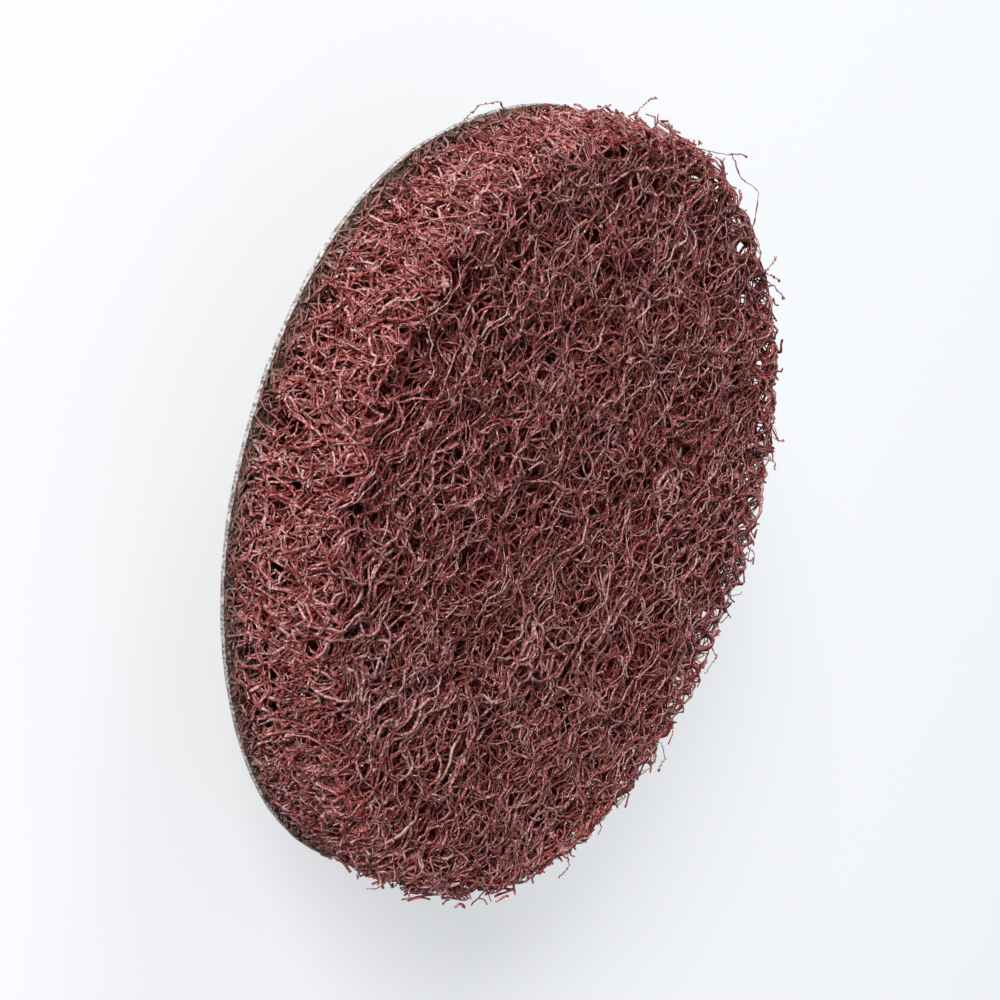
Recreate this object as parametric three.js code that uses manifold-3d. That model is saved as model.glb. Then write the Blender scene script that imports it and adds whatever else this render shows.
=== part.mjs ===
// A quick-change blending disc for a small angle grinder: a round pad of springy non-woven abrasive
// web on a cloth backing, with a moulded screw-in button glued to the middle of the back.
// Millimetres. The origin is the middle of the button's end, and +Z runs along the axis to the
// working face of the web.
import * as THREE from "three";
import { mergeVertices } from "three/addons/utils/BufferGeometryUtils.js";
import Module from "manifold-3d";

const wasm = await Module();
wasm.setup();

// The disc, as it is punched from the sheet
const discDiameter = 38;
const scrimThickness = 0.7;
const webThickness = 4.8; // without the strands that stand on its face
const webEdgeRound = 0.7; // the face's edge, softened by the punch
const outlineFaces = 72;

// The punched edge isn't quite round: each wave is [waves in a turn, height, start in degrees]
const outlineWaves = [
  [3, 0.15, 82],
  [5, 0.09, 296],
  [7, 0.07, 248],
];

// The button: a thin round foot, and a flat-ended stub with a coarse round thread
const footDiameter = 17;
const footThickness = 1.4;
const footEdgeThickness = 0.6;
const stubLength = 5.6;
const stubCoreDiameter = 7.6;
const stubChamfer = 0.5;
const stubFillet = 1.05; // where the stub meets the foot, just past the thread's crest
const threadDiameter = 9.5;
const threadPitch = 2.9;
const threadTurns = 1.3;
const threadWidth = 1.5; // at its root
const threadStart = 1; // from the stub's end to the middle of the thread's first turn
const buttonFaces = 40;

// The hot-melt glue between the foot and the cloth, with a bead squeezed out all round
const glueThickness = 0.4;
const glueBead = 0.6;

// The web's open structure: pores between strands, and the cut strand ends on the rim
const facePores = 82;
const rimPores = 34;
const poreWidth = 2.2;
const poreStretch = 1.7; // the longest pore's length over its width
const poreDepth = 2;
const poreVariation = 0.25; // how much a pore's width and depth vary, as a share either way
const poreSides = 5;
const poreTaper = 0.55; // the floor's width as a share of the mouth's
const rimPoreRows = [0.32, 0.68]; // how far up the rim's straight part each row lies
const strandWidth = 0.62;
const faceStrands = 30;
const faceStrandLength = 11;
const rimStrands = 10;
const rimStrandLength = 10;
const rimStrandClimb = 3; // how far the steepest rim strand climbs over its length
const strandVariation = 0.3; // how much a strand's length and waviness vary, either way
const strandCrimp = 1.1; // how far a strand swings to each side
const strandWaves = 1.5; // waves along a strand
const strandSteps = 8;
const strandSides = 4;
const rimStubs = 40;
const rimStubLength = 1.1;
const rimStubWidth = 0.7;
const strandSink = 0.3; // how much of a strand's width is bedded in the web

const discRadius = discDiameter / 2;
const footUnderside = stubLength;
const glueBottom = footUnderside + footThickness;
const scrimBottom = glueBottom + glueThickness;
const webBottom = scrimBottom + scrimThickness;
const webTop = webBottom + webThickness;

const fullTurn = 2 * Math.PI;
const goldenAngle = Math.PI * (3 - Math.sqrt(5));

// A repeatable number from 0 to 1 for each whole number and use, so that every build is the same
function scatter(index, use) {
  const mixed = Math.sin(index * 12.9898 + use * 78.233) * 43758.5453;
  return mixed - Math.floor(mixed);
}

// A size varied by up to a share of itself either way
function varied(size, share, index, use) {
  return size * (1 + share * (2 * scatter(index, use) - 1));
}

// How far the punched edge lies outside a true circle in a direction
function outlineAt(angle) {
  const wave = ([turns, height, start]) =>
    height * Math.sin(turns * angle + THREE.MathUtils.degToRad(start));
  return outlineWaves.map(wave).reduce((sum, height) => sum + height, 0);
}

// A three.js geometry as a solid that can be cut and joined
function solidOf(geometry) {
  const bare = geometry.clone();
  bare.deleteAttribute("normal");
  bare.deleteAttribute("uv");
  const merged = mergeVertices(bare, 1e-4);
  return new wasm.Manifold(
    new wasm.Mesh({
      numProp: 3,
      vertProperties: merged.attributes.position.array,
      triVerts: new Uint32Array(merged.index.array),
    }),
  );
}

function geometryOf(solid) {
  const mesh = solid.getMesh();
  const geometry = new THREE.BufferGeometry();
  geometry.setAttribute("position", new THREE.BufferAttribute(mesh.vertProperties, 3));
  geometry.setIndex(new THREE.BufferAttribute(mesh.triVerts, 1));
  geometry.computeVertexNormals();
  return geometry;
}

function joined(solids) {
  return wasm.Manifold.union(solids);
}

// The outer skin alone, which closes the small hollows that crossing strands shut in
function skinOf(solid) {
  return solid.decompose().reduce((most, body) => (body.volume() > most.volume() ? body : most));
}

// Turns a profile of [radius, height] points about +Z. The profile runs up the outside.
function revolved(profile, faces) {
  const points = profile.map(([radius, height]) => new THREE.Vector2(radius, height));
  const geometry = new THREE.LatheGeometry(points, faces);
  geometry.rotateX(Math.PI / 2);
  return geometry;
}

// Points on a rounded corner, from one angle to another about its centre
function cornerArc(centreRadius, centreHeight, size, fromDegrees, toDegrees, steps) {
  const points = [];
  for (let step = 0; step <= steps; step++) {
    const turn = THREE.MathUtils.degToRad(
      fromDegrees + ((toDegrees - fromDegrees) * step) / steps,
    );
    points.push([centreRadius + size * Math.cos(turn), centreHeight + size * Math.sin(turn)]);
  }
  return points;
}

// Gives a round piece the punched outline, from its full radius inwards in proportion
function punched(geometry) {
  const place = geometry.attributes.position;
  for (let i = 0; i < place.count; i++) {
    const x = place.getX(i);
    const y = place.getY(i);
    const share = 1 + outlineAt(Math.atan2(y, x)) / discRadius;
    place.setXY(i, x * share, y * share);
  }
  return geometry;
}

// A strand of web: a flattened tube along a curve through the points, its ends closed
function strandAlong(points, width) {
  const section = new THREE.Shape();
  for (let side = 0; side < strandSides; side++) {
    const turn = (fullTurn * side) / strandSides;
    const corner = [(width / 2) * Math.cos(turn), (width / 2) * Math.sin(turn)];
    if (side === 0) section.moveTo(...corner);
    else section.lineTo(...corner);
  }
  return new THREE.ExtrudeGeometry(section, {
    steps: strandSteps,
    extrudePath: new THREE.CatmullRomCurve3(points),
  });
}

// A place on the web's face, or past its edge on the rim, by distance from the axis along the skin
function onFace(x, y, lift) {
  const angle = Math.atan2(y, x);
  const reach = Math.hypot(x, y);
  const edge = discRadius + outlineAt(angle) - webEdgeRound;
  const past = Math.max(0, reach - edge);
  const turn = Math.min(past / webEdgeRound, Math.PI / 2);
  const radius = Math.min(reach, edge) + (webEdgeRound + lift) * Math.sin(turn);
  const height = webTop - webEdgeRound + (webEdgeRound + lift) * Math.cos(turn);
  return new THREE.Vector3(radius * Math.cos(angle), radius * Math.sin(angle), height);
}

function onRim(angle, height, lift) {
  const radius = discRadius + outlineAt(angle) + lift;
  return new THREE.Vector3(radius * Math.cos(angle), radius * Math.sin(angle), height);
}

// A pore: a tapered pit, sunk along an axis into the web from just outside its skin
function pore(mouth, inwards, width, depth, stretch, turn) {
  const clear = strandWidth;
  const pit = new THREE.CylinderGeometry(
    width / 2,
    (width / 2) * poreTaper,
    depth + clear,
    poreSides,
  );
  pit.translate(0, (clear - depth) / 2, 0);
  pit.scale(stretch, 1, 1);
  pit.rotateY(turn);
  const upright = new THREE.Vector3(0, 1, 0);
  const outwards = inwards.clone().negate();
  pit.applyQuaternion(new THREE.Quaternion().setFromUnitVectors(upright, outwards));
  pit.translate(mouth.x, mouth.y, mouth.z);
  return pit;
}

function facePoreSet() {
  const pores = [];
  const reach = discRadius - webEdgeRound - poreWidth / 2;
  const down = new THREE.Vector3(0, 0, -1);
  for (let i = 0; i < facePores; i++) {
    const radius = reach * Math.sqrt((i + 0.5) / facePores);
    const shift = (scatter(i, 1) - 0.5) * (poreWidth / 2 / radius);
    const angle = i * goldenAngle + shift;
    const mouth = onFace(radius * Math.cos(angle), radius * Math.sin(angle), 0);
    const width = varied(poreWidth, poreVariation, i, 2);
    const depth = Math.min(varied(poreDepth, poreVariation, i, 3), webThickness / 2);
    const stretch = 1 + (poreStretch - 1) * scatter(i, 4);
    pores.push(pore(mouth, down, width, depth, stretch, fullTurn * scatter(i, 5)));
  }
  return pores;
}

// Staggered rows round the rim
function rimPoreSet() {
  const pores = [];
  const largest = Math.min(poreWidth, webThickness / 2);
  for (let i = 0; i < rimPores; i++) {
    const angle = (fullTurn * (i + 0.5 * scatter(i, 6))) / rimPores;
    const row = rimPoreRows[i % rimPoreRows.length];
    const width = varied(largest, poreVariation, i, 7);
    const depth = Math.min(varied(poreDepth, poreVariation, i, 8), discRadius / 2);
    const mouth = onRim(angle, webBottom + row * (webThickness - webEdgeRound), 0);
    const inwards = new THREE.Vector3(-Math.cos(angle), -Math.sin(angle), 0);
    pores.push(pore(mouth, inwards, width, depth, 1, fullTurn * scatter(i, 9)));
  }
  return pores;
}

// How far a strand swings aside at a place along it, from -0.5 to 0.5 of its length
function swingAt(along, index, use) {
  const waves = varied(strandWaves, strandVariation, index, use);
  return strandCrimp * Math.sin(fullTurn * (scatter(index, use + 1) + along * waves));
}

// Crimped strands that lie on the face and bridge its pores, bedded by part of their width
function faceStrandSet() {
  const strands = [];
  const lift = strandWidth * (0.5 - strandSink);
  const reach = discRadius - webEdgeRound;
  for (let i = 0; i < faceStrands; i++) {
    const spread = reach * Math.sqrt((i + 0.5) / faceStrands);
    const middleX = spread * Math.cos(i * goldenAngle);
    const middleY = spread * Math.sin(i * goldenAngle);
    const heading = fullTurn * scatter(i, 11);
    const length = varied(faceStrandLength, strandVariation, i, 12);
    const points = [];
    for (let step = 0; step <= strandSteps; step++) {
      const along = step / strandSteps - 0.5;
      const swing = swingAt(along, i, 13);
      const x = middleX + along * length * Math.cos(heading) - swing * Math.sin(heading);
      const y = middleY + along * length * Math.sin(heading) + swing * Math.cos(heading);
      const kept = Math.min(1, reach / Math.hypot(x, y));
      points.push(onFace(x * kept, y * kept, lift));
    }
    strands.push(strandAlong(points, strandWidth));
  }
  return strands;
}

// The same on the rim, each climbing or falling as it goes round
function rimStrandSet() {
  const strands = [];
  const lift = strandWidth * (0.5 - strandSink);
  const lowest = webBottom + strandWidth / 2;
  const highest = webTop - webEdgeRound - strandWidth / 2;
  const sweep = rimStrandLength / discRadius;
  for (let i = 0; i < rimStrands; i++) {
    const middle = (fullTurn * (i + 0.5 * scatter(i, 21))) / rimStrands;
    const climb = rimStrandClimb * (2 * scatter(i, 22) - 1);
    const points = [];
    for (let step = 0; step <= strandSteps; step++) {
      const along = step / strandSteps - 0.5;
      const wanted = (lowest + highest) / 2 + along * climb + swingAt(along, i, 23);
      const height = THREE.MathUtils.clamp(wanted, lowest, highest);
      points.push(onRim(middle + along * sweep, height, lift));
    }
    strands.push(strandAlong(points, strandWidth));
  }
  return strands;
}

// Cut strand ends that stand out of the rim: short cones, rooted in the web
function rimStubSet() {
  const stubs = [];
  const lowest = webBottom + rimStubWidth / 2;
  const highest = webTop - webEdgeRound - rimStubWidth / 2;
  const upright = new THREE.Vector3(0, 1, 0);
  for (let i = 0; i < rimStubs; i++) {
    const angle = (fullTurn * (i + 0.6 * scatter(i, 31))) / rimStubs;
    const height = lowest + (highest - lowest) * scatter(i, 32);
    const length = rimStubLength * (1 - 0.4 * scatter(i, 33));
    const stub = new THREE.CylinderGeometry(rimStubWidth / 4, rimStubWidth / 2, 2 * length, 4);
    const outwards = new THREE.Vector3(Math.cos(angle), Math.sin(angle), 0);
    stub.applyQuaternion(new THREE.Quaternion().setFromUnitVectors(upright, outwards));
    const root = onRim(angle, height, 0);
    stub.translate(root.x, root.y, root.z);
    stubs.push(stub);
  }
  return stubs;
}

function abrasiveWeb() {
  const profile = [
    [0, webBottom],
    [discRadius, webBottom],
    ...cornerArc(discRadius - webEdgeRound, webTop - webEdgeRound, webEdgeRound, 0, 90, 3),
    [0, webTop],
  ];
  const pad = solidOf(punched(revolved(profile, outlineFaces)));
  const pores = joined([...facePoreSet(), ...rimPoreSet()].map(solidOf));
  const strands = [...faceStrandSet(), ...rimStrandSet(), ...rimStubSet()].map(solidOf);
  return geometryOf(skinOf(joined([pad.subtract(pores), ...strands])));
}

function scrimBacking() {
  const profile = [
    [0, scrimBottom],
    [discRadius, scrimBottom],
    [discRadius, webBottom],
    [0, webBottom],
  ];
  return punched(revolved(profile, outlineFaces));
}

function hotMeltBond() {
  const footRadius = footDiameter / 2;
  const bead = glueThickness / 2;
  const profile = [
    [0, glueBottom],
    ...cornerArc(footRadius + glueBead - bead, glueBottom + bead, bead, -90, 90, 4),
    [0, scrimBottom],
  ];
  return revolved(profile, buttonFaces);
}

// The thread: a round-topped ridge wound about the stub, that runs out to nothing at both ends
function threadRidge() {
  const root = stubCoreDiameter / 2;
  const sunk = root / 3;
  const rise = threadDiameter / 2 - root;
  const turnSteps = Math.round(buttonFaces * threadTurns);
  const runOut = 0.15; // share of the thread at each end
  const section = [
    [-sunk, -0.5],
    [0, -0.5],
    [0.85, -0.22],
    [1, 0],
    [0.85, 0.22],
    [0, 0.5],
    [-sunk, 0.5],
  ];
  const places = [];
  for (let step = 0; step <= turnSteps; step++) {
    const share = step / turnSteps;
    const fade = Math.min(1, share / runOut, (1 - share) / runOut);
    const height = threadStart + share * threadTurns * threadPitch;
    const angle = fullTurn * threadTurns * share;
    for (const [out, across] of section) {
      const radius = root + (out > 0 ? out * rise * fade : out);
      places.push(radius * Math.cos(angle), radius * Math.sin(angle));
      places.push(height + across * threadWidth * (0.4 + 0.6 * fade));
    }
  }
  const around = section.length;
  const faces = [];
  for (let step = 0; step < turnSteps; step++) {
    for (let side = 0; side < around; side++) {
      const near = step * around + side;
      const next = step * around + ((side + 1) % around);
      faces.push(near, next + around, next, near, near + around, next + around);
    }
  }
  const last = turnSteps * around;
  for (let side = 1; side < around - 1; side++) {
    faces.push(0, side, side + 1, last, last + side + 1, last + side);
  }
  const ridge = new THREE.BufferGeometry();
  ridge.setAttribute("position", new THREE.Float32BufferAttribute(places, 3));
  ridge.setIndex(faces);
  return ridge;
}

function quickChangeButton() {
  const stubRadius = stubCoreDiameter / 2;
  const footRadius = footDiameter / 2;
  const profile = [
    [0, 0],
    [stubRadius - stubChamfer, 0],
    [stubRadius, stubChamfer],
    ...cornerArc(stubRadius + stubFillet, footUnderside - stubFillet, stubFillet, 180, 90, 4),
    [footRadius * 0.72, footUnderside],
    [footRadius, glueBottom - footEdgeThickness],
    [footRadius, glueBottom],
    [0, glueBottom],
  ];
  const body = solidOf(revolved(profile, buttonFaces));
  return geometryOf(body.add(solidOf(threadRidge())));
}

const webMaterial = new THREE.MeshStandardMaterial({
  color: 0x7a4644,
  roughness: 0.9,
  metalness: 0,
});
const clothMaterial = new THREE.MeshStandardMaterial({
  color: 0xb5afa6,
  roughness: 0.95,
  metalness: 0,
});
const glueMaterial = new THREE.MeshStandardMaterial({
  color: 0xcdb98c,
  roughness: 0.35,
  metalness: 0,
});
const nylonMaterial = new THREE.MeshStandardMaterial({
  color: 0x26272a,
  roughness: 0.45,
  metalness: 0,
});

function named(name, geometry, material) {
  const mesh = new THREE.Mesh(geometry, material);
  mesh.name = name;
  return mesh;
}

const disc = new THREE.Group();
disc.add(
  named("abrasive_web", abrasiveWeb(), webMaterial),
  named("scrim_backing", scrimBacking(), clothMaterial),
  named("hot_melt_bond", hotMeltBond(), glueMaterial),
  named("quick_change_button", quickChangeButton(), nylonMaterial),
);

export default disc;
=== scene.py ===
# A quick-change blending disc: a springy abrasive web on a cloth backing, with a screw-in
# button glued behind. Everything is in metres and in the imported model's frame: the disc lies
# level on the button's end, with the working face up. Plans below are in millimetres.
import math

import bpy
import numpy as np
from mathutils import Matrix, Vector


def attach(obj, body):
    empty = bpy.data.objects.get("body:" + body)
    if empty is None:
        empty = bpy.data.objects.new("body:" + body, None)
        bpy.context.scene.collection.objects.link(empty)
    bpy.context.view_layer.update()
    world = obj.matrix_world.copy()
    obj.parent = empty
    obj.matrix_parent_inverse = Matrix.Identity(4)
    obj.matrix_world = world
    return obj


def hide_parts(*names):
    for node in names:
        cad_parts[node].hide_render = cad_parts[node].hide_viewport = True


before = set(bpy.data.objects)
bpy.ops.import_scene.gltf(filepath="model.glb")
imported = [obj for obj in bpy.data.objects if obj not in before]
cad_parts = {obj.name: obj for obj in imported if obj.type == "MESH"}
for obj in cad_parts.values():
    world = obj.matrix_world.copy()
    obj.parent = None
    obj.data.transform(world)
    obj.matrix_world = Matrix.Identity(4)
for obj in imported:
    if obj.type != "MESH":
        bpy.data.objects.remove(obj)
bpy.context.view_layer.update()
mm = 0.001
fullTurn = 2 * math.pi


# Nodes, for materials and for geometry


# a socket that can stand in a Python expression: each operator adds its Math node
class Signal:
    def __init__(self, graph, socket):
        self.graph = graph
        self.socket = socket

    def maths(self, operation, first, second):
        return self.graph.add("ShaderNodeMath", {"operation": operation}, {0: first, 1: second})

    def __add__(self, other):
        return self.maths("ADD", self, other)

    def __sub__(self, other):
        return self.maths("SUBTRACT", self, other)

    def __mul__(self, other):
        return self.maths("MULTIPLY", self, other)

    def __rtruediv__(self, other):
        return self.maths("DIVIDE", other, self)

    __radd__ = __add__


class Graph:
    def __init__(self, tree):
        self.tree = tree

    # one node: its type, its settings, then the values or links of its sockets
    def add(self, kind, settings=None, sockets=None, output=0):
        node = self.tree.nodes.new(kind)
        for name, value in (settings or {}).items():
            if name == "stops":
                ramp = node.color_ramp
                while len(ramp.elements) < len(value):
                    ramp.elements.new(0.5)
                for stop, (place, colour) in zip(ramp.elements, value):
                    stop.position = place
                    stop.color = (*colour, 1)
            else:
                setattr(node, name, value)
        for key, value in (sockets or {}).items():
            target = self.find(node.inputs, key)
            if isinstance(value, Signal):
                self.tree.links.new(value.socket, target)
            else:
                target.default_value = value
        return Signal(self, self.find(node.outputs, output))

    def find(self, sockets, key):
        if isinstance(key, int):
            return sockets[key]
        return next(s for s in sockets if key in (s.name, s.identifier) and s.enabled)


def newMaterial(name):
    material = bpy.data.materials.new(name)
    material.use_nodes = True
    material.node_tree.nodes.clear()
    return material, Graph(material.node_tree)


def finishMaterial(graph, shader):
    end = graph.tree.nodes.new("ShaderNodeOutputMaterial")
    graph.tree.links.new(shader.socket, end.inputs["Surface"])


def objectPlace(graph):
    return graph.add("ShaderNodeTexCoord", None, None, "Object")


def heightIn(graph, place):
    return graph.add("ShaderNodeSeparateXYZ", None, {"Vector": place}, "Z")


def storedValue(graph, name):
    return graph.add("ShaderNodeAttribute", {"attribute_name": name}, None, "Fac")


def noise(graph, place, scale, detail):
    sockets = {"Vector": place, "Scale": scale, "Detail": detail}
    return graph.add("ShaderNodeTexNoise", None, sockets, "Fac")


# runs from 0 at the first limit to 1 at the second
def between(graph, value, limits):
    sockets = {"Value": value, "From Min": limits[0], "From Max": limits[1]}
    return graph.add("ShaderNodeMapRange", None, sockets)


def colourRamp(graph, stops, factor):
    return graph.add("ShaderNodeValToRGB", {"stops": stops}, {"Fac": factor})


def bumped(graph, height, strength, distance):
    sockets = {"Height": height, "Strength": strength, "Distance": distance}
    return graph.add("ShaderNodeBump", None, sockets, "Normal")


def surface(graph, sockets):
    return graph.add("ShaderNodeBsdfPrincipled", None, sockets)


def mixed(graph, factor, first, second):
    sockets = {"Factor_Float": factor, "A_Color": first, "B_Color": second}
    return graph.add("ShaderNodeMix", {"data_type": "RGBA"}, sockets, "Result_Color")


# multiplies a colour by another; the web's painted shade goes through here
def shadedBy(graph, colour, shadeColour):
    settings = {"data_type": "RGBA", "blend_type": "MULTIPLY"}
    sockets = {"Factor_Float": 1.0, "A_Color": colour, "B_Color": shadeColour}
    return graph.add("ShaderNodeMix", settings, sockets, "Result_Color")


# a geometry tree with named inputs, each (name, socket type, value)
def newTree(name, inputs):
    tree = bpy.data.node_groups.new(name, "GeometryNodeTree")
    tree.interface.new_socket("Geometry", in_out="INPUT", socket_type="NodeSocketGeometry")
    for label, kind, value in inputs:
        socket = tree.interface.new_socket(label, in_out="INPUT", socket_type=kind)
        if value is not None:
            socket.default_value = value
    tree.interface.new_socket("Geometry", in_out="OUTPUT", socket_type="NodeSocketGeometry")
    graph = Graph(tree)
    entry = tree.nodes.new("NodeGroupInput")
    return graph, {s.name: Signal(graph, s) for s in entry.outputs if s.name}


# the end of every geometry tree: real geometry, with its material
def finishTree(graph, geometry, material):
    real = graph.add("GeometryNodeRealizeInstances", None, {"Geometry": geometry})
    smooth = graph.add("GeometryNodeSetShadeSmooth", None, {"Geometry": real})
    done = graph.add("GeometryNodeSetMaterial", None, {"Geometry": smooth, "Material": material})
    end = graph.tree.nodes.new("NodeGroupOutput")
    graph.tree.links.new(done.socket, end.inputs[0])


def newObject(name, mesh):
    made = bpy.data.objects.new(name, mesh)
    bpy.context.scene.collection.objects.link(made)
    return made


# runs a geometry tree on a mesh and gives its result back as a plain mesh object
def grown(name, source, graph, values):
    holder = newObject(name + "Source", source)
    modifier = holder.modifiers.new("growth", "NODES")
    modifier.node_group = graph.tree
    for item in graph.tree.interface.items_tree:
        if item.in_out == "INPUT" and item.name in values:
            modifier[item.identifier] = values[item.name]
    depsgraph = bpy.context.evaluated_depsgraph_get()
    result = bpy.data.meshes.new_from_object(
        holder.evaluated_get(depsgraph), preserve_all_data_layers=True, depsgraph=depsgraph
    )
    bpy.data.objects.remove(holder)
    result.name = name
    return newObject(name, result)


def addValues(mesh, name, values):
    layer = mesh.attributes.new(name, "FLOAT", "POINT")
    layer.data.foreach_set("value", np.asarray(values, np.float32))


def readValues(mesh, name):
    values = np.zeros(len(mesh.vertices), np.float32)
    mesh.attributes[name].data.foreach_get("value", values)
    return values


bakePlan = {"margin": 0.01, "halfSquare": 0.0025}


# a map for baking the colours: each face takes a small square at its own tone and depth, so
# that faces of one colour share a place
def layBakeMap(mesh, across, up):
    loops = len(mesh.loops)
    corner = np.zeros(loops, np.int64)
    mesh.loops.foreach_get("vertex_index", corner)
    starts = np.zeros(len(mesh.polygons), np.int64)
    sizes = np.zeros(len(mesh.polygons), np.int64)
    mesh.polygons.foreach_get("loop_start", starts)
    mesh.polygons.foreach_get("loop_total", sizes)
    face = np.repeat(np.arange(len(starts)), sizes)
    turn = np.arange(loops) - starts[face]
    margin, half = bakePlan["margin"], bakePlan["halfSquare"]
    places = []
    for name, sides in ((across, (-1, 1, 1, -1)), (up, (-1, -1, 1, 1))):
        values = readValues(mesh, name)[corner]
        middle = np.bincount(face, values) / sizes
        side = half * np.array(sides)[turn % 4]
        places.append(margin + (1 - 2 * margin) * middle[face] + side)
    layer = mesh.uv_layers.new(name="OFBake")
    layer.data.foreach_set("uv", np.stack(places, 1).astype(np.float32).ravel())


# Where the photo was taken from


viewPlan = {
    "target": (0, 0, 10.35),
    "distance": 114,
    "fromAxis": 58.95,  # degrees between the disc's axis and the line of sight
    "roll": 16.59,  # degrees by which the axis runs down to the right in the picture
    "lens": 85.8,
    "shift": (-0.031, 0.0047),
    "sensor": 36,
    "clip": (0.01, 20),  # in metres
}


# The disc's own shape


discPlan = {
    "radius": 19.0,
    # waves of the outline: how many in a turn, height, start in degrees
    "waves": [(2, 0.14, 230), (3, 0.15, 82), (5, 0.09, 296), (7, 0.07, 248)],
    "clothBottom": 7.4,
    "webBottom": 7.7,
    "webTop": 13.3,
    "edgeRound": 1.0,
    "unevenness": 0.16,
    # the face's slow ripple along x and y, and a finer one across both: turning per mm
    "slow": (0.83, 0.71), "slowStart": (1.3, 0.4), "fine": (1.9, 1.4), "fineShare": 0.6,
    "raggedOver": 3.5,  # height over which the punched edge turns ragged
    # clumps of web on the rim: how many in a turn, how they lean with height, start, size
    "clumps": [(2, 0, -2.27, 0.13), (36, 1.1, 0, 0.11), (71, -2.3, 1, 0.09), (117, 3.1, 2, 0.06)],
}


def outlineAt(angle):
    reach = np.full_like(angle, discPlan["radius"])
    for turns, height, start in discPlan["waves"]:
        reach = reach + height * np.sin(turns * angle + math.radians(start))
    return reach


# how ragged the punched edge is at a height: even at the cloth, shaggier towards the face
def raggedness(z):
    return np.clip((z - discPlan["webBottom"]) / discPlan["raggedOver"], 0, 1)


# the web's rim at a direction and height
def edgeAt(angle, z):
    swell = sum(
        size * np.sin(turns * angle + lean * z + start)
        for turns, lean, start, size in discPlan["clumps"]
    )
    return outlineAt(angle) + raggedness(z) * swell


# the web's upper skin: level in the middle, rounded over at the punched edge, a little uneven
def skinAt(x, y):
    angle = np.arctan2(y, x)
    gap = np.clip(outlineAt(angle) - np.hypot(x, y), 0, discPlan["edgeRound"])
    edge = discPlan["edgeRound"]
    drop = edge - np.sqrt(np.maximum(edge**2 - (edge - gap) ** 2, 0))
    (slowX, slowY), (startX, startY) = discPlan["slow"], discPlan["slowStart"]
    fineX, fineY = discPlan["fine"]
    ripple = np.sin(slowX * x + startX) * np.cos(slowY * y + startY)
    ripple = ripple + discPlan["fineShare"] * np.sin(fineX * x - fineY * y)
    return discPlan["webTop"] - drop + discPlan["unevenness"] * ripple


# Fibres


porePlan = {
    "face": 1250, "rim": 620, "small": 0.17, "large": 0.46, "smallPower": 1.6, "stray": 0.22,
    "seed": 5,
    # pores of the rim: rise per mm inwards, wider above the shoulder, and where they begin
    "lean": 0.6, "shoulder": 11.9, "shoulderMore": 0.03, "inwardsFrom": 16.6, "inwardsOver": 0.8,
    # how far a pore opens the fibres: at the skin, the depth to lose it over, and at the least
    "openness": 1.15, "closeOver": 3.2, "leastOpen": 0.15,
}
# shares of a turn that never repeat, so that the pores spread evenly
goldenAngle = math.pi * (3 - math.sqrt(5))
goldenShare = 0.618034


def facePoreSet(rng):
    count = porePlan["face"]
    turn = np.arange(count) * goldenAngle
    reach = discPlan["radius"] * np.sqrt((np.arange(count) + 0.5) / count)
    middle = np.stack([reach * np.cos(turn), reach * np.sin(turn)], 1)
    return middle + rng.normal(0, porePlan["stray"], middle.shape)


# on the rim a place is its distance round the disc and its height
def rimPoreSet(rng):
    count = porePlan["rim"]
    around = (np.arange(count) + 0.5) / count * fullTurn * discPlan["radius"]
    height = discPlan["webTop"] - discPlan["webBottom"]
    up = discPlan["webBottom"] + height * ((np.arange(count) * goldenShare) % 1)
    middle = np.stack([around, up], 1)
    return middle + rng.normal(0, porePlan["stray"], middle.shape)


def poreSizes(rng, count):
    span = porePlan["large"] - porePlan["small"]
    return porePlan["small"] + span * rng.uniform(0, 1, count) ** porePlan["smallPower"]


poreRandom = np.random.default_rng(porePlan["seed"])
facePores = (facePoreSet(poreRandom), poreSizes(poreRandom, porePlan["face"]))
rimPores = (rimPoreSet(poreRandom), poreSizes(poreRandom, porePlan["rim"]))
rimPores[1][rimPores[0][:, 1] > porePlan["shoulder"]] += porePlan["shoulderMore"]


# pushes fibres out of the pores, each over twice its own radius, by a strength of 0 to 1
def openPores(pores, x, y, strength):
    flatX, flatY, share = x.ravel(), y.ravel(), strength.ravel()
    order = np.argsort(flatX)
    sortedX = flatX[order]
    moveX, moveY = np.zeros_like(flatX), np.zeros_like(flatY)
    for (middleX, middleY), size in zip(*pores):
        reach = 2 * size
        first, last = np.searchsorted(sortedX, (middleX - reach, middleX + reach))
        band = order[first:last]
        awayX, awayY = flatX[band] - middleX, flatY[band] - middleY
        inside = awayX**2 + awayY**2 < reach**2
        near, awayX, awayY = band[inside], awayX[inside], awayY[inside]
        gap = np.hypot(awayX, awayY) + 1e-6
        push = size * (1 - gap / reach) ** 2 * share[near]
        moveX[near] += awayX / gap * push
        moveY[near] += awayY / gap * push
    return x + moveX.reshape(x.shape), y + moveY.reshape(y.shape)


# gaps near the far edge through which the photo shows white: (degrees round the disc, distance
# from the axis) where each enters the face, from which it runs on along the line of sight
gapPlan = {
    # sizes, and the degrees round the disc between which the one turns into the other
    "small": 0.29, "large": 0.37, "widening": (110, 160),
    # the part of the web that they open: from this distance, height and nearness on
    "inner": 15.6, "innerOver": 0.6, "low": 9.6, "near": -9, "face": 13.3,
    "places": [
        (81, 16.8), (107, 16.3), (116, 16.9), (97, 16.8), (78, 16.9), (121, 17.2), (108, 17),
        (126, 16.1), (177, 17.3), (170, 17.7), (130, 17.7), (102, 17.2), (62, 16.8), (113, 16),
        (113, 17.4), (95, 17.2), (172, 18.2), (65, 15.7), (75, 15.7), (144, 17.4), (129, 16.4),
        (72, 17.1), (145, 15.8), (68, 15.7), (159, 17.6), (182, 16.2), (139, 17.7), (154, 17),
        (194, 18.8), (190, 18.6), (210, 19), (176, 16.7), (86, 18),
    ],
}


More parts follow.
